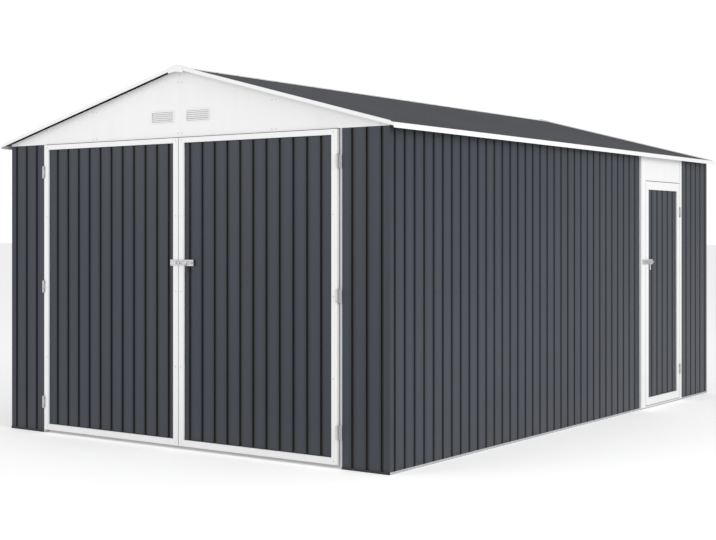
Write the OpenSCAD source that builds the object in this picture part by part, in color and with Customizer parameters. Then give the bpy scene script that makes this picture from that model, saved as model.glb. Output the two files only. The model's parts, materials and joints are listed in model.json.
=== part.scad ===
// Metal garage: grooved steel sheets on a light steel frame, white gables and
// trims, double front doors and one side door. Millimetres, +Z up, front at -Y,
// origin on the ground in the middle of the plan.

/* [Building] */
// Width over the side walls
wall_w = 3875; // [3700:1:5200]
// Length over the end walls
wall_l = 5875; // [4200:1:8000]
// Height of the side wall sheets
wall_h = 2385; // [2280:1:3000]
// Length of each leg of the corner angles
corner_leg = 49.5; // [30:0.5:60]

/* [Sheets] */
// Distance between grooves
pitch = 125; // [90:1:180]
// Width of a groove at the surface
groove_w = 26; // [18:1:36]
// Width of a groove at its bottom
groove_base_w = 15; // [8:1:16]
// Depth of a groove
groove_d = 11; // [5:0.5:16]
// Thickness of sheets, trims and angles
sheet_t = 3; // [2:0.5:5]

/* [Base rails] */
// Height of the base rails
base_h = 18; // [14:1:24]
// Width of the base rails behind the wall face
base_w = 40; // [34:1:60]
// Diameter of the ground anchor holes
anchor_d = 11; // [8:1:14]
// Distance of the anchor holes from the middle of the building
anchor_y = 1900; // [1500:1:2000]

/* [Roof] */
// Slope of the roof in degrees
roof_angle = 14.7; // [8:0.1:25]
// Roof overhang past the side walls
eave_overhang = 70; // [40:1:120]
// Roof overhang past the end walls
rake_overhang = 52; // [45:1:120]
// Height of the roof's underside above the side walls
roof_seat = 20; // [14:1:40]
// Height of the trims' faces
trim_h = 32; // [24:1:50]
// Height of the rake trims above the roof sheets
rake_rise = 10; // [4:1:16]
// Depth of the rake trims below the roof sheets' faces
rake_drop = 19; // [16:1:40]
// Width of the trims' flanges on the roof
trim_lap = 26; // [15:1:40]
// Width of each wing of the ridge cap
ridge_wing = 75; // [60:1:150]
// Half width of the hoods at the ends of the ridge
hood_half_w = 75; // [50:1:90]
// Rise of the hoods above the roof sheets
hood_rise = 14; // [8:1:25]

/* [Roof frame] */
// Width of the ridge beam
ridge_beam_w = 60; // [40:1:90]
// Depth of the ridge beam
ridge_beam_h = 75; // [72:1:120]
// Width of the eave rails
eave_rail_w = 40; // [30:1:60]
// Depth of the eave rails below the side wall's top
eave_rail_drop = 40; // [30:1:60]
// Width of the purlins, rafters and tie beams
bar_w = 30; // [20:1:50]
// Depth of the purlins
purlin_h = 30; // [20:1:40]
// Distance of the purlins from the ridge
purlin_x = 980; // [600:1:1300]
// Depth of the rafters and tie beams
bar_h = 40; // [30:1:60]
// Distance of the inner rafters from the middle of the building
rafter_y = 1000; // [600:1:1400]
// Height of the mid rails
mid_rail_z = 1200; // [900:1:1500]

/* [Gables] */
// Height of the gables' lower edge above the side walls' top
gable_lift = 5; // [2:1:8]
// Overlap of the gables on the end walls
gable_lap = 30; // [15:1:60]
// Depth of the headers
header_h = 50; // [40:1:80]
// Width of a vent
vent_w = 242; // [160:1:300]
// Height of a vent
vent_h = 94; // [70:1:120]
// Distance of a vent's middle from the building's middle
vent_x = 182; // [160:1:300]
// Height of a vent's middle above the gable's lower edge
vent_rise = 160; // [120:1:200]
// Width of a vent's rim
vent_rim = 9; // [6:1:14]
// Number of slats in a vent
vent_slats = 5; // [3:1:7]

/* [Front doors] */
// Width between the front jambs
front_w = 3036; // [2400:1:3100]
// Width of a front jamb's visible edge
jamb_edge = 17; // [12:1:30]
// Width of a front jamb behind the wall
jamb_w = 42; // [30:1:60]
// Depth of a front jamb
jamb_d = 45; // [40:1:60]
// Gap between a front jamb and its leaf
hinge_gap = 11; // [8:1:14]
// Gap between the two leaves
meet_gap = 6; // [6:1:10]
// Gap above the front and side doors
top_gap = 6; // [5:1:10]
// Height of the front doors above the ground
front_door_z = 28; // [24:1:60]
// Width of the hinge stiles
hinge_stile_w = 50; // [40:1:80]
// Width of the meeting stiles
meet_stile_w = 51.5; // [40:0.5:80]
// Height of the front doors' top rails
top_rail_h = 39; // [30:1:80]
// Height of the front doors' bottom rails
bottom_rail_h = 48; // [30:1:80]
// Distance of a front door's first groove from the middle
door_groove_x = 110; // [90:1:120]

/* [Side door] */
// Distance of the side door's frame from the back corner
side_back = 732; // [300:1:800]
// Width of the rear side jamb
side_rear_jamb_w = 46; // [40:1:80]
// Width of the front side jamb
side_front_jamb_w = 100; // [90:1:120]
// Width of the side door
side_door_w = 819; // [700:1:900]
// Gap beside the side door
side_gap = 7; // [6:1:10]
// Height of the side door's top
side_door_top = 2147; // [1900:1:2160]
// Height of the side door above the ground
side_door_z = 32; // [24:1:60]
// Gap under the side door
side_sill_gap = 6; // [5:1:6]
// Width of the side door's stiles
side_stile_w = 62; // [50:1:80]
// Height of the side door's top rail
side_top_rail_h = 78; // [50:1:100]
// Height of the side door's bottom rail
side_bottom_rail_h = 71; // [50:1:100]

/* [Leaves and hinges] */
// Distance of the frames' faces in front of the wall
frame_proud = 21; // [16:1:30]
// Thickness of the door frames
leaf_t = 36; // [30:1:45]
// Distance of the door sheets behind the frames' faces
panel_recess = 13; // [8:1:16]
// Height of the mid rail inside a door
lock_rail_h = 60; // [40:1:90]
// Height of a hinge
hinge_h = 98; // [70:1:130]
// Radius of a hinge's knuckles
knuckle_r = 7; // [6:0.5:8]
// Radius of a hinge's pin
pin_r = 3.5; // [3:0.5:4]
// Clearance around a hinge's pin
pin_clear = 0.4; // [0.3:0.1:0.6]
// Distance of a hinge's pin in front of the frames' faces
pin_proud = 8.5; // [8:0.5:12]
// Thickness of hinge plates and latch plates
plate_t = 3; // [2:0.5:4]
// Width of a hinge's plate on the door
hinge_plate_w = 9; // [6:1:40]

/* [Latches] */
// Height of the front latch
front_latch_z = 1428; // [900:1:1700]
// Height of the side latch
side_latch_z = 1385; // [900:1:1700]
// Length of a latch's plate
latch_l = 148; // [140:1:160]
// Height of a latch's plates
latch_h = 47; // [36:1:60]
// Radius of a bolt
bolt_r = 6; // [4:0.5:7]
// Clearance around a bolt
bolt_clear = 0.6; // [0.5:0.1:1.5]
// Length of a bolt
bolt_l = 147; // [142:1:170]
// Length of a bolt's hanging handle
handle_l = 76; // [50:1:90]
// Length of a keeper's plate
keeper_l = 74; // [60:1:76]

/* [Hidden] */
$fn = 48;

half_w = wall_w / 2;
half_l = wall_l / 2;
sheet_depth = groove_d + sheet_t;     // sheet from its face to the back of its grooves
fit_gap = 0.3;                        // seat between sloping or crossing pieces
eps = 0.01;

eave_x = half_w + eave_overhang;      // edge of the roof sheets
rake_y = half_l + rake_overhang;      // end of the roof sheets
trim_y = rake_y + sheet_t;            // faces of the rake trims
hood_drop = 8;                        // point of a hood's face below the rake trims
gable_z = wall_h + gable_lift;        // lower edge of the gables
base_in = base_w - sheet_t;           // inner flange of a base rail
corner_top = gable_z + 4;             // tops of the corner angles

front_half = front_w / 2;             // inner edge of a front jamb
strip_x = front_half + jamb_edge;     // edge of the front wall sheets
leaf_x = front_half - hinge_gap;      // hinge edge of a front leaf
front_door_top = gable_z - top_gap;
front_hinge_z = [256, 1213, 2159];

side_wall_end = half_l - side_back;   // edge of the wall sheet behind the side door
side_hinge_edge = side_wall_end - side_rear_jamb_w - side_gap;
side_lock_edge = side_hinge_edge - side_door_w;
side_wall_start = side_lock_edge - side_gap - side_front_jamb_w;
side_jamb_top = wall_h - 2;
header_end = half_w - sheet_depth - eave_rail_w;
header_flat = half_w - (gable_lift + header_h + fit_gap - roof_seat) / tan(roof_angle);
slat_h = 9;
side_hinge_z = [317, 1864];

knuckle_h = hinge_h / 3;
knuckle_play = 0.6;
plate_edge = knuckle_r + 2.5;         // edge of a hinge's plate from its pin
web_x = knuckle_r - sheet_t;          // back plate of a hinge's fixed half
bolt_y = plate_t + bolt_r + 3.5;      // bolt in front of the frames' faces
guide_w = 12;
guide_x = [14, 84];                   // guides of a bolt, from the gap's middle
latch_start = 8;
bolt_start = 3;
handle_w = 8;
handle_x = guide_x[1] - 5 - handle_w;
foot_x = 125;                         // foot of a latch plate on the door sheet
foot_w = 22;

dark = [0.28, 0.29, 0.32];
black = [0.05, 0.05, 0.06];
white = [0.92, 0.92, 0.92];
zinc = [0.72, 0.73, 0.74];
steel = [0.62, 0.62, 0.63];

// ---- roof lines ----

function roof_under(x) = wall_h + roof_seat + (half_w - abs(x)) * tan(roof_angle);
function roof_top(x) = roof_under(x) + sheet_depth / cos(roof_angle);

// ---- grooved sheets ----

// Middles of the grooves that fit between two ends
function grooves(start, end, phase) = [
    for (k = [ceil((start - phase) / pitch) : floor((end - phase) / pitch)])
        let (c = phase + k * pitch)
        if (c - groove_w / 2 > start - eps && c + groove_w / 2 < end + eps) c
];

// Line across the grooves: depth is the flats' place, spread widens the grooves
function groove_line(list, depth, spread, start, end) = [
    for (c = list)
        for (p = [[-groove_w / 2 - spread, 0], [-groove_base_w / 2 - spread, groove_d],
                  [groove_base_w / 2 + spread, groove_d], [groove_w / 2 + spread, 0]])
            [min(max(c + p[0], start), end), depth + p[1]]
];

function reversed(list) = [for (i = [len(list) - 1 : -1 : 0]) list[i]];

// Grooved sheet: face at y = 0, inside at +y, from start to end along x
module grooved_sheet(start, end, height, phase = 0) {
    list = grooves(start, end, phase);
    spread = sheet_t * 0.7;
    face = concat([[start, 0]], groove_line(list, 0, 0, start, end), [[end, 0]]);
    back = concat([[start, sheet_t]], groove_line(list, sheet_t, spread, start, end),
                  [[end, sheet_t]]);
    linear_extrude(height = height) polygon(concat(face, reversed(back)));
}

// Places for the four walls: x along the wall, y into the building
module at_front() translate([0, -half_l, 0]) children();
module at_back() translate([0, half_l, 0]) rotate([0, 0, 180]) children();
module at_right() translate([half_w, 0, 0]) rotate([0, 0, 90]) children();
module at_left() translate([-half_w, 0, 0]) rotate([0, 0, -90]) children();

// Box between two corners
module block(low, high) translate(low) cube(high - low);

// Section in x and z, carried along y
module along_y(from, to) translate([0, to, 0]) rotate([90, 0, 0])
    linear_extrude(height = to - from) children();

// ---- base rails ----

// Open channel that a wall stands in; its face and its inner flange have ends of their own
module base_channel(start, end, face_start, face_end, flange_inset) {
    block([face_start, -sheet_t, 0], [face_end, 0, base_h]);
    block([start, -sheet_t, 0], [end, base_w, sheet_t]);
    block([start + flange_inset, base_in, 0], [end - flange_inset, base_w, base_h]);
}

module base_rail_front() color(black) at_front()
    for (side = [0, 1])
        mirror([side, 0, 0])
            base_channel(front_half + jamb_w, half_w - base_w, strip_x, half_w + sheet_t, 0);

module base_rail_back() color(zinc) at_back()
    base_channel(base_w - half_w, half_w - base_w, -half_w - sheet_t, half_w + sheet_t, 0);

module side_base_rail() difference() {
    base_channel(-half_l, half_l, -half_l, half_l, base_in);
    for (y = [-anchor_y, anchor_y])
        translate([y, base_w / 2, -1]) cylinder(d = anchor_d, h = sheet_t + 2);
}

module base_rails_sides() color(zinc) {
    at_left() side_base_rail();
    at_right() side_base_rail();
}

// ---- walls ----

module corner_angle() {
    block([half_w - corner_leg, -half_l, sheet_t], [half_w, sheet_t - half_l, corner_top]);
    block([half_w - sheet_t, -half_l, sheet_t], [half_w, corner_leg - half_l, wall_h]);
}

module corner_posts() color(dark)
    for (turn = [0, 1])
        for (side = [0, 1])
            rotate([0, 0, 180 * turn]) mirror([side, 0, 0]) corner_angle();

// Sheet of an end wall, up behind the gable's lower edge
module end_sheet(start, end) translate([0, 0, sheet_t]) grooved_sheet(start, end,
    min(gable_z + gable_lap, roof_under(half_w - corner_leg) - fit_gap) - sheet_t);

module front_walls() color(dark) at_front()
    for (side = [0, 1])
        mirror([side, 0, 0]) end_sheet(strip_x, half_w - corner_leg);

module back_wall() color(dark) at_back() end_sheet(corner_leg - half_w, half_w - corner_leg);

module side_sheet(start, end) translate([0, 0, sheet_t])
    grooved_sheet(start, end, wall_h - sheet_t);

module left_wall() color(dark) at_left() side_sheet(corner_leg - half_l, half_l - corner_leg);

module right_wall_front() color(dark) at_right() side_sheet(corner_leg - half_l, side_wall_start);

module right_wall_rear() color(dark) at_right() side_sheet(side_wall_end, half_l - corner_leg);

// ---- gables ----

module vent_hole(grow) translate([vent_x - vent_w / 2 - grow, gable_z + vent_rise - vent_h / 2 - grow])
    square([vent_w + 2 * grow, vent_h + 2 * grow]);

// Half of a gable, on the +x side
module gable_half() color(white) along_y(-half_l - sheet_t, -half_l) difference() {
    polygon([[fit_gap, gable_z], [half_w, gable_z], [half_w, roof_under(half_w) - fit_gap],
             [fit_gap, roof_under(fit_gap) - fit_gap]]);
    vent_hole(-vent_rim);
}

module gable_front()
    for (side = [0, 1])
        mirror([side, 0, 0]) gable_half();

module gable_back() mirror([0, 1, 0]) gable_front();

// Louvre: a rim on the gable's face and sloping slats across it
module vent() {
    slat_step = (vent_h - 2 * vent_rim) / vent_slats;
    along_y(-half_l - 2 * sheet_t, -half_l - sheet_t) difference() {
        vent_hole(0);
        vent_hole(-vent_rim);
    }
    for (i = [0 : vent_slats - 1])
        translate([vent_x - vent_w / 2 + vent_rim - 1, -half_l - 2 * sheet_t,
                   gable_z + vent_rise - vent_h / 2 + vent_rim + (i + 0.2) * slat_step])
            rotate([90, 0, 90]) linear_extrude(height = vent_w - 2 * vent_rim + 2)
                polygon([[0.2, 0], [sheet_t - 0.2, slat_h / 2], [sheet_t - 0.2, slat_h],
                         [0.2, slat_h / 2]]);
}

module gable_vents() color(white)
    for (side = [0, 1])
        for (end = [0, 1])
            mirror([side, 0, 0]) mirror([0, end, 0]) vent();

// ---- door surrounds ----

module front_jambs() color(white) at_front()
    for (side = [0, 1])
        mirror([side, 0, 0]) linear_extrude(height = gable_z) polygon([
            [front_half, 0], [strip_x, 0], [strip_x, sheet_depth + fit_gap],
            [front_half + jamb_w, sheet_depth + fit_gap], [front_half + jamb_w, jamb_d],
            [front_half, jamb_d]
        ]);

// Header on the jambs, its top corners cut to the roof's slope
module header() along_y(sheet_depth + fit_gap, jamb_d) polygon([
    [-header_end, gable_z], [header_end, gable_z], [header_end, roof_under(header_end) - fit_gap],
    [header_flat, gable_z + header_h], [-header_flat, gable_z + header_h],
    [-header_end, roof_under(header_end) - fit_gap]
]);

module headers() color(zinc) {
    at_front() header();
    at_back() header();
}

// Piece of the side door's surround, from its face to the wall's inside
module side_surround(start, end, low, high) color(white) at_right()
    block([start, -frame_proud, low], [end, sheet_depth, high]);

module side_jambs() {
    side_surround(side_wall_start, side_lock_edge - side_gap, base_h, side_jamb_top);
    side_surround(side_hinge_edge + side_gap, side_wall_end, base_h, side_jamb_top);
}

module side_sill() side_surround(side_lock_edge - side_gap, side_hinge_edge + side_gap,
    base_h, side_door_z - side_sill_gap);

// Tray between the jambs, open at the back
module side_door_header() color(white) at_right() difference() {
    low = [side_lock_edge - side_gap, sheet_t - frame_proud, side_door_top + top_gap];
    high = [side_hinge_edge + side_gap, sheet_depth, side_jamb_top];
    block(low, high);
    block(low + [sheet_t, sheet_t, sheet_t], high + [-sheet_t, 1, -sheet_t]);
}

// ---- roof frame ----

// Bar under the roof with upright sides, on the +x side
module sloping_bar(start, end, drop, depth) polygon([
    [start, roof_under(start) - drop], [end, roof_under(end) - drop],
    [end, roof_under(end) - drop - depth], [start, roof_under(start) - drop - depth]
]);

module eave_rail() {
    out_x = half_w - sheet_depth;
    in_x = out_x - eave_rail_w;
    along_y(sheet_depth + fit_gap - half_l, half_l - sheet_depth - fit_gap)
        polygon([[in_x, wall_h - eave_rail_drop], [out_x, wall_h - eave_rail_drop],
                 [out_x, roof_under(out_x) - fit_gap], [in_x, roof_under(in_x) - fit_gap]]);
}

module eave_rails() color(zinc) {
    eave_rail();
    mirror([1, 0, 0]) eave_rail();
}

module ridge_beam() color(zinc) along_y(-half_l, half_l) polygon([
    [-ridge_beam_w / 2, roof_under(0) - ridge_beam_h],
    [ridge_beam_w / 2, roof_under(0) - ridge_beam_h],
    [ridge_beam_w / 2, roof_under(ridge_beam_w / 2) - fit_gap],
    [0, roof_under(0) - fit_gap],
    [-ridge_beam_w / 2, roof_under(ridge_beam_w / 2) - fit_gap]
]);

module purlins() color(zinc)
    for (side = [0, 1])
        mirror([side, 0, 0]) along_y(-half_l, half_l)
            sloping_bar(purlin_x, purlin_x + bar_w, fit_gap, purlin_h);

// Rafters stand against the headers at the ends and at two places between
module rafters() color(zinc) {
    end_y = half_l - jamb_d - fit_gap - bar_w;
    for (side = [0, 1])
        for (y = [-end_y - bar_w, -rafter_y - bar_w, rafter_y, end_y])
            mirror([side, 0, 0]) along_y(y, y + bar_w)
                sloping_bar(ridge_beam_w / 2, header_end, purlin_h + 2 * fit_gap, bar_h);
}

// Ties stand beside the inner rafters' feet, between the eave rails
module tie_beams() color(zinc) {
    low = wall_h - eave_rail_drop;
    for (y = [-rafter_y, rafter_y - bar_w])
        block([-header_end, y, low], [header_end, y + bar_w, low + bar_h]);
}

module mid_rail(start, end)
    block([start, sheet_depth, mid_rail_z], [end, sheet_depth + bar_w, mid_rail_z + bar_h]);

module mid_rails() color(zinc) {
    reach = half_l - sheet_depth - fit_gap;
    at_left() mid_rail(-reach, reach);
    at_right() mid_rail(-reach, side_wall_start);
    at_right() mid_rail(side_wall_end, reach);
    across = half_w - sheet_depth - bar_w - fit_gap;
    at_back() mid_rail(-across, across);
}

// ---- roof ----

module roof_right() color(dark) {
    start = sheet_depth * sin(roof_angle) + 1;
    translate([start, 0, roof_top(start)]) rotate([-90 - roof_angle, 0, -90])
        grooved_sheet(-rake_y, rake_y, (eave_x - start) / cos(roof_angle));
}

module roof_left() mirror([1, 0, 0]) roof_right();

// Folded plate over the roof sheets, from the middle to a distance each side
module fold(reach, lift, thick) polygon([
    [-reach, roof_top(reach) + lift], [0, roof_top(0) + lift], [reach, roof_top(reach) + lift],
    [reach, roof_top(reach) + lift + thick], [0, roof_top(0) + lift + thick],
    [-reach, roof_top(reach) + lift + thick]
]);

module ridge_cap() color(white) along_y(-trim_y, trim_y) fold(ridge_wing, fit_gap, sheet_t);

// Hood over each end of the ridge cap, with a face that hangs in front of the rake trims
module ridge_hoods() color(white)
    for (end = [0, 1])
        mirror([0, end, 0]) {
            along_y(-trim_y - sheet_t, 2 * trim_lap - trim_y)
                fold(hood_half_w, 2 * fit_gap + sheet_t, hood_rise - sheet_t);
            along_y(-trim_y - sheet_t, -trim_y) polygon([
                [-hood_half_w, roof_top(hood_half_w) - trim_h], [0, roof_top(0) - trim_h - hood_drop],
                [hood_half_w, roof_top(hood_half_w) - trim_h],
                [hood_half_w, roof_top(hood_half_w) + hood_rise], [0, roof_top(0) + hood_rise],
                [-hood_half_w, roof_top(hood_half_w) + hood_rise]
            ]);
        }

// Face at the eave with a flange on the roof sheet
module eave_trim() along_y(-trim_y, trim_y) polygon([
    [eave_x + fit_gap, roof_top(eave_x) - trim_h], [eave_x + fit_gap + sheet_t, roof_top(eave_x) - trim_h],
    [eave_x + fit_gap + sheet_t, roof_top(eave_x) + sheet_t], [eave_x, roof_top(eave_x) + sheet_t],
    [eave_x - trim_lap, roof_top(eave_x - trim_lap) + sheet_t],
    [eave_x - trim_lap, roof_top(eave_x - trim_lap) + fit_gap], [eave_x, roof_top(eave_x) + fit_gap],
    [eave_x + fit_gap, roof_top(eave_x) + fit_gap]
]);

module eave_trims() color(white) {
    eave_trim();
    mirror([1, 0, 0]) eave_trim();
}

// Face along a gable's slope with a flange on the roof sheet, on the +x side
module rake_trim() {
    start = ridge_wing + fit_gap;
    flange_end = eave_x - trim_lap - fit_gap;
    along_y(-trim_y, -rake_y - fit_gap) polygon([
        [fit_gap, roof_top(fit_gap) - rake_drop], [eave_x, roof_top(eave_x) - rake_drop],
        [eave_x, roof_top(eave_x)], [flange_end, roof_top(flange_end)],
        [flange_end, roof_top(flange_end) + rake_rise], [start, roof_top(start) + rake_rise],
        [start, roof_top(start)], [fit_gap, roof_top(fit_gap)]
    ]);
    along_y(-trim_y, trim_lap - rake_y) polygon([
        [start, roof_top(start) + fit_gap], [flange_end, roof_top(flange_end) + fit_gap],
        [flange_end, roof_top(flange_end) + sheet_t], [start, roof_top(start) + sheet_t]
    ]);
}

module rake_trims() color(white)
    for (side = [0, 1])
        for (end = [0, 1])
            mirror([side, 0, 0]) mirror([0, end, 0]) rake_trim();

// ---- door leaves: x along the wall, y = 0 on the frames' faces ----

module leaf_frame(start, end, low, high, left_stile, right_stile, bottom_rail, top_rail) {
    rail_z = (low + high) / 2;
    difference() {
        block([start, 0, low], [end, leaf_t, high]);
        block([start + left_stile, -1, low + bottom_rail],
              [end - right_stile, leaf_t + 1, high - top_rail]);
    }
    block([start + left_stile, panel_recess + sheet_depth + fit_gap, rail_z - lock_rail_h / 2],
          [end - right_stile, leaf_t, rail_z + lock_rail_h / 2]);
}

module at_front_face() at_front() translate([0, -frame_proud, 0]) children();
module at_side_face() at_right() translate([0, -frame_proud, 0]) children();

module right_leaf_frame() leaf_frame(meet_gap / 2, leaf_x, front_door_z, front_door_top,
    meet_stile_w, hinge_stile_w, bottom_rail_h, top_rail_h);

module right_leaf_panel() translate([0, panel_recess, front_door_z + bottom_rail_h])
    grooved_sheet(meet_gap / 2 + meet_stile_w, leaf_x - hinge_stile_w,
        front_door_top - top_rail_h - front_door_z - bottom_rail_h, door_groove_x);

module door_right_frame() color(white) at_front_face() right_leaf_frame();

module door_left_frame() color(white) at_front_face() mirror([1, 0, 0]) right_leaf_frame();

module door_right_panel() color(dark) at_front_face() right_leaf_panel();

module door_left_panel() color(dark) at_front_face() mirror([1, 0, 0]) right_leaf_panel();

module side_door_frame() color(white) at_side_face()
    leaf_frame(side_lock_edge, side_hinge_edge, side_door_z, side_door_top,
        side_stile_w, side_stile_w, side_bottom_rail_h, side_top_rail_h);

module side_door_panel() color(dark) at_side_face()
    translate([0, panel_recess, side_door_z + side_bottom_rail_h])
        grooved_sheet(side_lock_edge + side_stile_w, side_hinge_edge - side_stile_w,
            side_door_top - side_top_rail_h - side_door_z - side_bottom_rail_h);

// ---- hinges: pin at x = 0, door towards -x, y = 0 on the frames' faces ----

module hinge_door_half() difference() {
    union() {
        block([-plate_edge - hinge_plate_w, -plate_t, -hinge_h / 2], [-plate_edge, 0, hinge_h / 2]);
        block([-plate_edge - 1, -plate_t - 1.5, knuckle_play - knuckle_h / 2],
              [0, knuckle_r - pin_proud, knuckle_h / 2 - knuckle_play]);
        translate([0, -pin_proud, knuckle_play - knuckle_h / 2])
            cylinder(r = knuckle_r, h = knuckle_h - 2 * knuckle_play);
    }
    translate([0, -pin_proud, -knuckle_h]) cylinder(r = pin_r + pin_clear, h = 2 * knuckle_h);
}

// The jamb's face lies jamb_drop behind the door's face
module hinge_jamb_half(jamb_drop, foot_end) {
    difference() {
        union() {
            translate([0, -pin_proud, -hinge_h / 2]) cylinder(r = knuckle_r, h = hinge_h);
            block([web_x, -pin_proud, -hinge_h / 2], [knuckle_r, jamb_drop, hinge_h / 2]);
            block([web_x, jamb_drop - plate_t, -hinge_h / 2], [foot_end, jamb_drop, hinge_h / 2]);
        }
        translate([0, -pin_proud, -knuckle_h / 2]) cylinder(r = knuckle_r + 1, h = knuckle_h);
    }
    translate([0, -pin_proud, -hinge_h / 2]) cylinder(r = pin_r, h = hinge_h);
}

module at_right_hinges() at_front_face()
    for (z = front_hinge_z)
        translate([front_half - hinge_gap / 2, 0, z]) children();

module at_left_hinges() mirror([1, 0, 0]) at_right_hinges() children();

module at_side_hinges() at_side_face()
    for (z = side_hinge_z)
        translate([side_hinge_edge + side_gap / 2, 0, z]) children();

module door_right_hinges() color(steel) at_right_hinges() hinge_door_half();

module door_left_hinges() color(steel) at_left_hinges() hinge_door_half();

module side_door_hinges() color(steel) at_side_hinges() hinge_door_half();

module hinge_posts() color(steel) {
    at_right_hinges() hinge_jamb_half(frame_proud, hinge_gap / 2 + jamb_edge);
    at_left_hinges() hinge_jamb_half(frame_proud, hinge_gap / 2 + jamb_edge);
    at_side_hinges() hinge_jamb_half(0, plate_edge + hinge_plate_w);
}

// ---- latches: gap's middle at x = 0, lock leaf towards +x ----

// Loop with a square hole that a bolt slides through
module guide(start) difference() {
    hole = bolt_r + bolt_clear;
    block([start, -bolt_y - bolt_r - 2.5, -bolt_r - 5], [start + guide_w, eps - plate_t, bolt_r + 5]);
    block([start - 1, -bolt_y - hole, -hole], [start + guide_w + 1, hole - bolt_y, hole]);
}

module latch_plate() {
    block([latch_start, -plate_t, -latch_h / 2], [latch_start + latch_l, 0, latch_h / 2]);
    block([foot_x, -eps, -latch_h / 4], [foot_x + foot_w, panel_recess, latch_h / 4]);
    for (x = guide_x)
        guide(x);
}

module sliding_bolt() {
    translate([bolt_start, -bolt_y, 0]) rotate([0, 90, 0]) cylinder(r = bolt_r, h = bolt_l);
    block([handle_x, -bolt_y - 5, -handle_l], [handle_x + handle_w, 4 - bolt_y, 0]);
}

module keeper() {
    block([-latch_start - keeper_l, -plate_t, -latch_h / 2], [-latch_start, 0, latch_h / 2]);
    guide(-latch_start - 6 - guide_w);
}

module at_front_latch() at_front_face() translate([0, 0, front_latch_z]) children();
module at_side_latch() at_side_face()
    translate([side_lock_edge - side_gap / 2, 0, side_latch_z]) children();

module front_latch() color(steel) at_front_latch() latch_plate();

module front_bolt() color(steel) at_front_latch() sliding_bolt();

module front_keeper() color(steel) at_front_latch() keeper();

module side_latch() color(steel) at_side_latch() latch_plate();

module side_bolt() color(steel) at_side_latch() sliding_bolt();

module side_keeper() color(steel) at_side_latch() keeper();

base_rail_front();
base_rails_sides();
base_rail_back();
corner_posts();
front_walls();
left_wall();
right_wall_front();
right_wall_rear();
back_wall();
gable_front();
gable_back();
gable_vents();
front_jambs();
headers();
side_jambs();
side_sill();
side_door_header();
eave_rails();
ridge_beam();
purlins();
rafters();
tie_beams();
mid_rails();
roof_left();
roof_right();
ridge_cap();
ridge_hoods();
eave_trims();
rake_trims();
hinge_posts();
side_keeper();
door_left_frame();
door_left_panel();
door_left_hinges();
front_keeper();
door_right_frame();
door_right_panel();
door_right_hinges();
front_latch();
front_bolt();
side_door_frame();
side_door_panel();
side_door_hinges();
side_latch();
side_bolt();
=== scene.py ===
"""Metal garage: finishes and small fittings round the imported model. Metres, front at -Y."""
import json
import math

import bpy
from mathutils import Matrix, Vector


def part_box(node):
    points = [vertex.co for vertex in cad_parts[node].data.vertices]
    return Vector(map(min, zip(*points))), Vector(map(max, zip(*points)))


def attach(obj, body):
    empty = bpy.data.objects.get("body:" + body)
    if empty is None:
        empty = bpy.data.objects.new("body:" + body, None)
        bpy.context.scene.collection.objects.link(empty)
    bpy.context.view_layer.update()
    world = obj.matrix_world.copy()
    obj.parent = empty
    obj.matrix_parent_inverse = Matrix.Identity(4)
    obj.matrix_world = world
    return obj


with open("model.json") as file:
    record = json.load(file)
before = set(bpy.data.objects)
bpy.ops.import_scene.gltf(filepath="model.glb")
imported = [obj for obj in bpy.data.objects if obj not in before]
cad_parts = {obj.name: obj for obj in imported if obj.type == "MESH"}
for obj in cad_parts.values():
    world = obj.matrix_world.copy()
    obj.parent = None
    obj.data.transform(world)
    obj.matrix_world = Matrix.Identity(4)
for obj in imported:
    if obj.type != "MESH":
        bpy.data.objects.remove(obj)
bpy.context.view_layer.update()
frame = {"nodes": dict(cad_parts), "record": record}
nodes = frame["nodes"]

# Places that the fittings share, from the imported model
WALLS_LOW, WALLS_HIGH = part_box("corner_posts")
FRONT_Y = WALLS_LOW[1]
BACK_Y = WALLS_HIGH[1]
SIDE_X = WALLS_HIGH[0]
GABLE_LOW, GABLE_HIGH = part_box("gable_front")
RIDGE_LOW, RIDGE_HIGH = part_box("ridge_cap")
EAVE_LOW, EAVE_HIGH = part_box("eave_trims")
RAKE_LOW, RAKE_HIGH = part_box("rake_trims")
DOOR_LOW, DOOR_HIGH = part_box("door_right_frame")
SIDE_DOOR_LOW, SIDE_DOOR_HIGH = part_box("side_door_frame")
ROOF_SLOPE = math.radians(14.7)
GROOVE_PITCH = 0.125
DOOR_GROOVE_X = 0.110     # first groove of a front leaf, from the middle
SCREW_R = 0.0045
GROOVE_SHADE_DEPTH = 0.0045     # painted shade fills the grooves' walls from this depth down
GROOVE_SHADE_TONE = 0.14     # painted shade down in a groove, as a part of the flats' colour
SHEET_T = 0.003


# ---- materials ----

def link(tree, a, a_out, b, b_in):
    tree.links.new(a.outputs[a_out], b.inputs[b_in])


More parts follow.
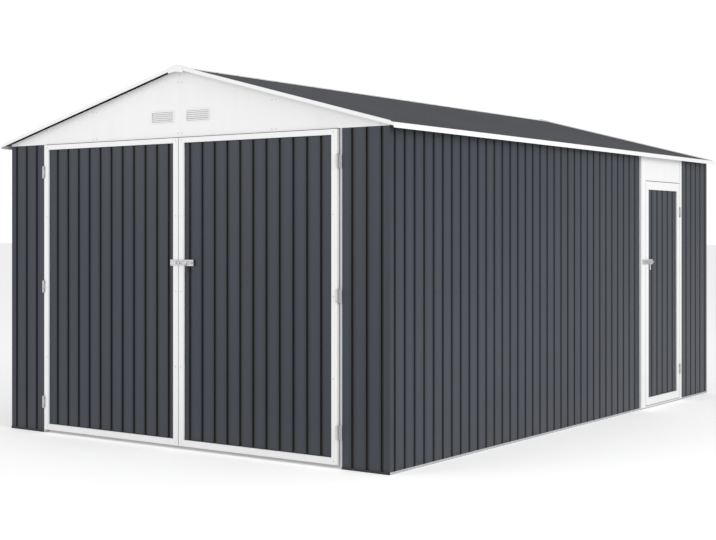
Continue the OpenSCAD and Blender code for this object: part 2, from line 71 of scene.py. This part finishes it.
def painted_metal(name, color, roughness, streak=0.06, grime=0.0, crease_painted_shade=0.0, face=None):
    """Painted sheet: faint streaks, fine orange peel, dirt near the ground, painted shade in
    creases.

    face is (axis, place, inward sign, place of a groove) of a grooved sheet, for the painted
    shade in its grooves and the painted light and shade across its flats.
    """
    mat = bpy.data.materials.new(name)
    mat.use_nodes = True
    tree = mat.node_tree
    tree.nodes.clear()
    out = tree.nodes.new("ShaderNodeOutputMaterial")
    bsdf = tree.nodes.new("ShaderNodeBsdfPrincipled")
    link(tree, bsdf, "BSDF", out, "Surface")
    coords = tree.nodes.new("ShaderNodeTexCoord")

    # Long soft streaks along the sheets
    stretch = tree.nodes.new("ShaderNodeMapping")
    stretch.inputs["Scale"].default_value = (6.0, 6.0, 0.5)
    link(tree, coords, "Object", stretch, "Vector")
    streaks = tree.nodes.new("ShaderNodeTexNoise")
    streaks.inputs["Scale"].default_value = 2.2
    streaks.inputs["Detail"].default_value = 5.0
    link(tree, stretch, "Vector", streaks, "Vector")
    blotches = tree.nodes.new("ShaderNodeTexNoise")
    blotches.inputs["Scale"].default_value = 0.9
    blotches.inputs["Detail"].default_value = 3.0
    link(tree, coords, "Object", blotches, "Vector")

    tone = tree.nodes.new("ShaderNodeMapRange")
    tone.inputs["From Min"].default_value = 0.3
    tone.inputs["From Max"].default_value = 0.7
    tone.inputs["To Min"].default_value = 1.0 - streak
    tone.inputs["To Max"].default_value = 1.0 + streak
    link(tree, streaks, "Fac", tone, "Value")
    tinted = tree.nodes.new("ShaderNodeVectorMath")
    tinted.operation = "SCALE"
    tinted.inputs[0].default_value = color
    link(tree, tone, "Result", tinted, "Scale")
    last = tinted

    if crease_painted_shade > 0.0:
        # Painted shade: ambient occlusion darkens the colour in creases and close to other parts
        crease = tree.nodes.new("ShaderNodeAmbientOcclusion")
        crease.samples = 8
        crease.inputs["Distance"].default_value = 0.02
        shade = tree.nodes.new("ShaderNodeMapRange")
        shade.inputs["From Min"].default_value = 0.35
        shade.inputs["From Max"].default_value = 0.9
        shade.inputs["To Min"].default_value = 1.0 - crease_painted_shade
        shade.inputs["To Max"].default_value = 1.0
        link(tree, crease, "AO", shade, "Value")
        crease_shaded = tree.nodes.new("ShaderNodeVectorMath")
        crease_shaded.operation = "SCALE"
        link(tree, last, "Vector", crease_shaded, 0)
        link(tree, shade, "Result", crease_shaded, "Scale")
        last = crease_shaded

    if face:
        # Painted shade: the colour darkens with depth down into the grooves
        axis, place, inward, groove = face
        across = tree.nodes.new("ShaderNodeSeparateXYZ")
        link(tree, coords, "Object", across, "Vector")
        depth = tree.nodes.new("ShaderNodeMapRange")
        depth.interpolation_type = "SMOOTHSTEP"
        depth.inputs["From Min"].default_value = place + inward * 0.0004
        depth.inputs["From Max"].default_value = place + inward * GROOVE_SHADE_DEPTH
        depth.inputs["To Min"].default_value = 1.0
        depth.inputs["To Max"].default_value = GROOVE_SHADE_TONE
        link(tree, across, axis, depth, "Value")
        groove_shaded = tree.nodes.new("ShaderNodeVectorMath")
        groove_shaded.operation = "SCALE"
        link(tree, last, "Vector", groove_shaded, 0)
        link(tree, depth, "Result", groove_shaded, "Scale")

        # Painted light and shade across the flats: paler in the middle, darker beside the
        # grooves
        steps = [("SUBTRACT", groove), ("DIVIDE", GROOVE_PITCH), ("PINGPONG", 0.5)]
        value = across.outputs["X" if axis == "Y" else "Y"]
        for operation, number in steps:
            step = tree.nodes.new("ShaderNodeMath")
            step.operation = operation
            step.inputs[1].default_value = number
            tree.links.new(value, step.inputs[0])
            value = step.outputs[0]
        flat_painted_shading = tree.nodes.new("ShaderNodeMapRange")
        flat_painted_shading.interpolation_type = "SMOOTHSTEP"
        flat_painted_shading.inputs["From Min"].default_value = 0.08
        flat_painted_shading.inputs["From Max"].default_value = 0.34
        flat_painted_shading.inputs["To Min"].default_value = 0.62
        flat_painted_shading.inputs["To Max"].default_value = 1.18
        tree.links.new(value, flat_painted_shading.inputs["Value"])
        flat_shaded = tree.nodes.new("ShaderNodeVectorMath")
        flat_shaded.operation = "SCALE"
        link(tree, groove_shaded, "Vector", flat_shaded, 0)
        link(tree, flat_painted_shading, "Result", flat_shaded, "Scale")
        last = flat_shaded

    if grime > 0.0:
        # Splashed dirt on the lowest few hundred millimetres
        height = tree.nodes.new("ShaderNodeSeparateXYZ")
        link(tree, coords, "Object", height, "Vector")
        splash = tree.nodes.new("ShaderNodeMapRange")
        splash.inputs["From Min"].default_value = 0.0
        splash.inputs["From Max"].default_value = 0.35
        splash.inputs["To Min"].default_value = grime
        splash.inputs["To Max"].default_value = 0.0
        link(tree, height, "Z", splash, "Value")
        broken = tree.nodes.new("ShaderNodeMath")
        broken.operation = "MULTIPLY"
        link(tree, splash, "Result", broken, 0)
        link(tree, blotches, "Fac", broken, 1)
        dusty = tree.nodes.new("ShaderNodeMix")
        dusty.data_type = "RGBA"
        dusty.inputs["B"].default_value = (0.24, 0.21, 0.18, 1.0)
        tree.links.new(broken.outputs[0], dusty.inputs["Factor"])
        tree.links.new(last.outputs[0], dusty.inputs["A"])
        tree.links.new(dusty.outputs["Result"], bsdf.inputs["Base Color"])
    else:
        tree.links.new(last.outputs[0], bsdf.inputs["Base Color"])

    sheen = tree.nodes.new("ShaderNodeMapRange")
    sheen.inputs["To Min"].default_value = roughness - 0.06
    sheen.inputs["To Max"].default_value = roughness + 0.08
    link(tree, blotches, "Fac", sheen, "Value")
    link(tree, sheen, "Result", bsdf, "Roughness")

    # Orange peel of the coating over slight waves of the sheet
    peel = tree.nodes.new("ShaderNodeTexNoise")
    peel.inputs["Scale"].default_value = 420.0
    peel.inputs["Detail"].default_value = 2.0
    link(tree, coords, "Object", peel, "Vector")
    fine = tree.nodes.new("ShaderNodeBump")
    fine.inputs["Strength"].default_value = 0.06
    fine.inputs["Distance"].default_value = 0.0006
    link(tree, peel, "Fac", fine, "Height")
    waves = tree.nodes.new("ShaderNodeBump")
    waves.inputs["Strength"].default_value = 0.12
    waves.inputs["Distance"].default_value = 0.02
    link(tree, blotches, "Fac", waves, "Height")
    link(tree, fine, "Normal", waves, "Normal")
    link(tree, waves, "Normal", bsdf, "Normal")
    return mat


def zinc(name, color, roughness, spangle):
    """Zinc coating: crystal spangle in colour and roughness, and a brushed grain."""
    mat = bpy.data.materials.new(name)
    mat.use_nodes = True
    tree = mat.node_tree
    bsdf = tree.nodes["Principled BSDF"]
    bsdf.inputs["Metallic"].default_value = 0.75
    coords = tree.nodes.new("ShaderNodeTexCoord")
    cells = tree.nodes.new("ShaderNodeTexVoronoi")
    cells.inputs["Scale"].default_value = spangle
    link(tree, coords, "Object", cells, "Vector")
    tone = tree.nodes.new("ShaderNodeMapRange")
    tone.inputs["To Min"].default_value = 0.86
    tone.inputs["To Max"].default_value = 1.12
    link(tree, cells, "Color", tone, "Value")
    tinted = tree.nodes.new("ShaderNodeVectorMath")
    tinted.operation = "SCALE"
    tinted.inputs[0].default_value = color
    link(tree, tone, "Result", tinted, "Scale")
    tree.links.new(tinted.outputs[0], bsdf.inputs["Base Color"])
    rough = tree.nodes.new("ShaderNodeMapRange")
    rough.inputs["To Min"].default_value = roughness - 0.08
    rough.inputs["To Max"].default_value = roughness + 0.1
    link(tree, cells, "Color", rough, "Value")
    link(tree, rough, "Result", bsdf, "Roughness")
    grain = tree.nodes.new("ShaderNodeTexNoise")
    grain.inputs["Scale"].default_value = 300.0
    link(tree, coords, "Object", grain, "Vector")
    bump = tree.nodes.new("ShaderNodeBump")
    bump.inputs["Strength"].default_value = 0.15
    bump.inputs["Distance"].default_value = 0.0005
    link(tree, grain, "Fac", bump, "Height")
    link(tree, bump, "Normal", bsdf, "Normal")
    return mat


DARK_PAINT = (0.021, 0.0265, 0.0405)
WHITE_PAINT = (0.88, 0.88, 0.88)


def grooved_paint(node, axis, side, groove=0.0):
    """Anthracite for one grooved sheet: side is -1 where its face is the box's low side."""
    low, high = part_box(node)
    place = (low if side < 0 else high)["XYZ".index(axis)]
    # Painted shade in the creases and grooves, painted light and shade across the flats
    return painted_metal("anthracite_" + node, DARK_PAINT, 0.42, 0.05, 0.06, 0.5,
                         (axis, place, -side, groove))


# Where a fourth number follows the colour, it sets how much painted shade darkens the creases
ANTHRACITE = painted_metal("anthracite_sheet", DARK_PAINT, 0.42, 0.05, 0.06, 0.5)
ROOF_PAINT = painted_metal("anthracite_roof", (0.025, 0.030, 0.040), 0.62, 0.06, 0.0, 0.30)
WHITE = painted_metal("white_trim", WHITE_PAINT, 0.38, 0.012, 0.05, 0.25)
# Painted shade: the white paint of the recessed jambs is set to grey
WHITE_SHADED_GREY = painted_metal("white_jamb_shaded", (0.60, 0.60, 0.61), 0.45, 0.03, 0.08, 0.25)
BLACK = painted_metal("black_rail", (0.012, 0.012, 0.014), 0.5, 0.1, 0.05)
DARK_SCREW = painted_metal("dark_screw_paint", DARK_PAINT, 0.4)
GALVANISED = zinc("galvanised_steel", (0.55, 0.56, 0.57), 0.42, 90.0)
HARDWARE = zinc("zinc_fittings", (0.66, 0.66, 0.67), 0.38, 220.0)
SCREW_MAT = zinc("zinc_screws", (0.5, 0.5, 0.5), 0.4, 400.0)

SLOT_MATERIALS = {
    "anthracite": ANTHRACITE, "white_paint": WHITE, "black_paint": BLACK,
    "galvanised": GALVANISED, "hardware": HARDWARE,
}
NODE_MATERIALS = {"roof_left": ROOF_PAINT, "roof_right": ROOF_PAINT, "front_jambs": WHITE_SHADED_GREY}
FACES = {
    "front_walls": ("Y", -1), "back_wall": ("Y", 1), "left_wall": ("X", -1),
    "right_wall_front": ("X", 1), "right_wall_rear": ("X", 1), "side_door_panel": ("X", 1),
    "door_left_panel": ("Y", -1, -DOOR_GROOVE_X), "door_right_panel": ("Y", -1, DOOR_GROOVE_X),
}
for node_name, face in FACES.items():
    NODE_MATERIALS[node_name] = grooved_paint(node_name, *face)


def dress(obj, mat):
    obj.data.materials.clear()
    obj.data.materials.append(mat)


slots = {part["node"]: part["material_slot"] for part in frame["record"]["subparts"]}
for node_name, obj in nodes.items():
    dress(obj, NODE_MATERIALS.get(node_name, SLOT_MATERIALS[slots[node_name]]))

# Folded edges: small bevels on the trims, frames and fittings catch the light
BEVELS = {
    "white_paint": 0.0012, "hardware": 0.0008, "galvanised": 0.001, "black_paint": 0.001,
}
for node_name, obj in nodes.items():
    width = BEVELS.get(slots[node_name])
    if width:
        bevel = obj.modifiers.new("folded_edges", "BEVEL")
        bevel.width = width
        bevel.segments = 2
        bevel.limit_method = "ANGLE"
        bevel.angle_limit = math.radians(40)


# ---- small fittings, as joined meshes ----

def ring(radius, height, count=12):
    return [Vector((radius * math.cos(2 * math.pi * i / count),
                    radius * math.sin(2 * math.pi * i / count), height)) for i in range(count)]


def screw_shape(radius):
    """Hexagon-washer screw head, base at z = 0: (points, faces)."""
    levels = [ring(radius, 0.0), ring(radius, radius * 0.22), ring(radius * 0.72, radius * 0.34),
              ring(radius * 0.62, radius * 0.36, 12), ring(radius * 0.58, radius * 0.85),
              ring(radius * 0.42, radius * 1.0)]
    points = [p for level in levels for p in level]
    count = 12
    faces = []
    for i in range(len(levels) - 1):
        for j in range(count):
            a, b = i * count + j, i * count + (j + 1) % count
            faces.append((a, b, b + count, a + count))
    faces.append(tuple(range(count - 1, -1, -1)))
    faces.append(tuple(range((len(levels) - 1) * count, len(levels) * count)))
    return points, faces


def screws(name, places, body, radius=SCREW_R, mat=SCREW_MAT):
    """One mesh of screw heads: places are (point, outward direction)."""
    points, faces = [], []
    shape, shape_faces = screw_shape(radius)
    for place, outward in places:
        turn = Vector((0, 0, 1)).rotation_difference(Vector(outward)).to_matrix().to_4x4()
        move = Matrix.Translation(Vector(place)) @ turn
        first = len(points)
        points += [move @ p for p in shape]
        faces += [tuple(first + i for i in face) for face in shape_faces]
    mesh = bpy.data.meshes.new(name)
    mesh.from_pydata(points, [], faces)
    mesh.update()
    obj = bpy.data.objects.new(name, mesh)
    bpy.context.scene.collection.objects.link(obj)
    dress(obj, mat)
    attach(obj, body)
    return obj


def spaced(low, high, step):
    """Even places from low to high, about step apart."""
    count = max(1, round((high - low) / step))
    return [low + (high - low) * i / count for i in range(count + 1)]


FRONT, BACK, RIGHT, LEFT = (0, -1, 0), (0, 1, 0), (1, 0, 0), (-1, 0, 0)

# Gable bolts: a lower and an upper pair near each side, and a row on the lower edge
gable_z = GABLE_LOW[2]
gable_places = []
for face_y, outward in ((FRONT_Y - SHEET_T, FRONT), (BACK_Y + SHEET_T, BACK)):
    for side in (-1, 1):
        for dx in (-0.019, 0.019):
            for z in (gable_z + 0.021, gable_z + 0.233):
                gable_places.append(((side * (0.925 + dx), face_y, z), outward))
        gable_places.append(((side * 0.02, face_y, gable_z + 0.03), outward))
        gable_places.append(((side * 0.02, face_y, gable_z + 0.42), outward))
        gable_places.append(((side * 1.86, face_y, gable_z + 0.012), outward))
screws("gable_screws", gable_places, "shell", 0.004)

# Screws in the flats of the wall sheets, at the base, the mid rail and the top
wall_places = []
wall_rows = (0.035, 1.22, 2.352)
for k in range(-23, 23, 2):
    y = (k + 0.5) * GROOVE_PITCH
    for z in wall_rows:
        wall_places.append(((-SIDE_X, y, z), LEFT))
    if y < 1.20 or y > 2.25:
        for z in wall_rows:
            wall_places.append(((SIDE_X, y, z), RIGHT))
for k in range(-15, 15, 2):
    for z in wall_rows[:2]:
        wall_places.append((((k + 0.5) * GROOVE_PITCH, BACK_Y, z), BACK))
for side in (-1, 1):
    for z in (0.035, 0.62, 1.22, 1.8, 2.352):
        wall_places.append(((side * 1.5625, FRONT_Y, z), FRONT))
        wall_places.append(((side * 1.9125, FRONT_Y, z), FRONT))
screws("wall_screws", wall_places, "shell", 0.004, DARK_SCREW)

# Roof screws over the purlins and beside the ridge cap
roof_places = []
ridge_z = RIDGE_HIGH[2]


def roof_z(x):
    """Top of the roof sheets at a distance from the ridge."""
    return ridge_z - SHEET_T - 0.0003 - abs(x) * math.tan(ROOF_SLOPE)


slope_out = (math.sin(ROOF_SLOPE), math.cos(ROOF_SLOPE))
for side in (-1, 1):
    outward = (side * slope_out[0], 0, slope_out[1])
    for k in range(-23, 24, 2):
        y = (k + 0.5) * GROOVE_PITCH
        for x in (0.995, 1.90):
            roof_places.append(((side * x, y, roof_z(x)), outward))
screws("roof_screws", roof_places, "shell", 0.0045, DARK_SCREW)
cap_places = []
for side in (-1, 1):
    outward = (side * slope_out[0], 0, slope_out[1])
    for y in spaced(-2.85, 2.85, 0.25):
        cap_places.append(((side * 0.08, y, roof_z(0.08) + SHEET_T + 0.0003), outward))
screws("ridge_screws", cap_places, "shell", 0.0045)



def plate(name, low, high, body, mat):
    """Thin folded sheet with softened edges."""
    mesh = bpy.data.meshes.new(name)
    corners = [(x, y, z) for x in (low[0], high[0]) for y in (low[1], high[1])
               for z in (low[2], high[2])]
    mesh.from_pydata(corners, [], [(0, 1, 3, 2), (4, 6, 7, 5), (0, 4, 5, 1), (2, 3, 7, 6),
                                   (0, 2, 6, 4), (1, 5, 7, 3)])
    mesh.update()
    obj = bpy.data.objects.new(name, mesh)
    bpy.context.scene.collection.objects.link(obj)
    bevel = obj.modifiers.new("folded_edges", "BEVEL")
    bevel.width = 0.0004
    bevel.segments = 2
    dress(obj, mat)
    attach(obj, body)
    return obj


# Insect screens behind the vents' slats
vent_low, vent_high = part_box("gable_vents")
for end_name, screen_y in (("front", FRONT_Y + 0.001), ("back", BACK_Y - 0.002)):
    for side_name, side in (("left", -1), ("right", 1)):
        edges = sorted((side * 0.058, side * vent_high[0]))
        plate("vent_screen_" + end_name + "_" + side_name, (edges[0], screen_y, vent_low[2]),
              (edges[1], screen_y + 0.001, vent_high[2]), "shell", WHITE)

# Screws of the door frames, down the stiles, and of the latches and keepers
for body, side in (("door_left", -1), ("door_right", 1)):
    low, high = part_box(body + "_frame")
    places = []
    for z in spaced(low[2] + 0.024, high[2] - 0.02, 0.58):
        places.append(((side * 0.028, low[1], z), FRONT))
        places.append(((side * (max(abs(low[0]), abs(high[0])) - 0.034), low[1], z), FRONT))
    screws(body + "_screws", places, body, 0.0035)
latch_low, latch_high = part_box("front_latch")
keep_low, keep_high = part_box("front_keeper")
PLATE_INSET = 0.008
plate_y = DOOR_LOW[1] - SHEET_T
latch_z = (latch_low[2] + PLATE_INSET, latch_high[2] - PLATE_INSET)
screws("front_latch_screws", [((x, plate_y, z), FRONT) for z in latch_z
                              for x in (latch_high[0] - 0.010, latch_high[0] - 0.1)],
       "door_right", 0.0035)
screws("front_keeper_screws", [((x, plate_y, z), FRONT) for z in latch_z
                               for x in (keep_low[0] + 0.01, keep_low[0] + 0.035)],
       "door_left", 0.0035)
latch_low, latch_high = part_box("side_latch")
keep_low, keep_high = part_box("side_keeper")
plate_x = SIDE_DOOR_HIGH[0] + SHEET_T
latch_z = (latch_low[2] + PLATE_INSET, latch_high[2] - PLATE_INSET)
screws("side_latch_screws", [((plate_x, y, z), RIGHT) for z in latch_z
                             for y in (latch_high[1] - 0.010, latch_high[1] - 0.1)],
       "side_door", 0.0035)
screws("side_keeper_screws", [((plate_x, y, z), RIGHT) for z in latch_z
                              for y in (keep_low[1] + 0.01, keep_low[1] + 0.035)],
       "shell", 0.0035)

# ---- stage, light and camera ----

floor_mat = bpy.data.materials.new("pale_floor")
floor_mat.use_nodes = True
floor_bsdf = floor_mat.node_tree.nodes["Principled BSDF"]
floor_bsdf.inputs["Base Color"].default_value = (0.9, 0.9, 0.9, 1)
floor_bsdf.inputs["Roughness"].default_value = 0.9
floor_bsdf.inputs["Emission Color"].default_value = (1, 1, 1, 1)
floor_bsdf.inputs["Emission Strength"].default_value = 0.32
bpy.ops.mesh.primitive_plane_add(size=400, location=(0, 0, -0.001))
floor = bpy.context.object
floor.name = "floor"
dress(floor, floor_mat)

world = bpy.data.worlds.new("studio")
bpy.context.scene.world = world
world.use_nodes = True
sky = world.node_tree.nodes["Background"]
sky.inputs["Color"].default_value = (1, 1, 1, 1)
# The backdrop is white to the camera and softer as a light
rays = world.node_tree.nodes.new("ShaderNodeLightPath")
strength = world.node_tree.nodes.new("ShaderNodeMapRange")
strength.inputs["To Min"].default_value = 0.60
strength.inputs["To Max"].default_value = 1.1
link(world.node_tree, rays, "Is Camera Ray", strength, "Value")
link(world.node_tree, strength, "Result", sky, "Strength")


def soft_light(name, place, aim, size, watts):
    data = bpy.data.lights.new(name, "AREA")
    data.size = size
    data.energy = watts
    obj = bpy.data.objects.new(name, data)
    bpy.context.scene.collection.objects.link(obj)
    obj.location = place
    obj.rotation_euler = (Vector(aim) - Vector(place)).to_track_quat("-Z", "Y").to_euler()
    return obj


soft_light("key", (12, -4, 8), (0, 0, 1.2), 7, 700)
soft_light("fill", (-6, -12, 6), (0, 0, 1.2), 8, 260)

camera_data = bpy.data.cameras.new("camera")
camera = bpy.data.objects.new("camera", camera_data)
bpy.context.scene.collection.objects.link(camera)
camera_data.sensor_width = 36
camera_data.lens = 36 * 1343.2 / 716
camera_data.shift_y = -0.0496
camera_data.clip_end = 500
camera.location = (7.077, -10.535, 1.644)
camera.rotation_euler = (math.radians(90), 0, math.radians(35.43))
bpy.context.scene.camera = camera

bpy.context.scene.view_settings.view_transform = "Standard"
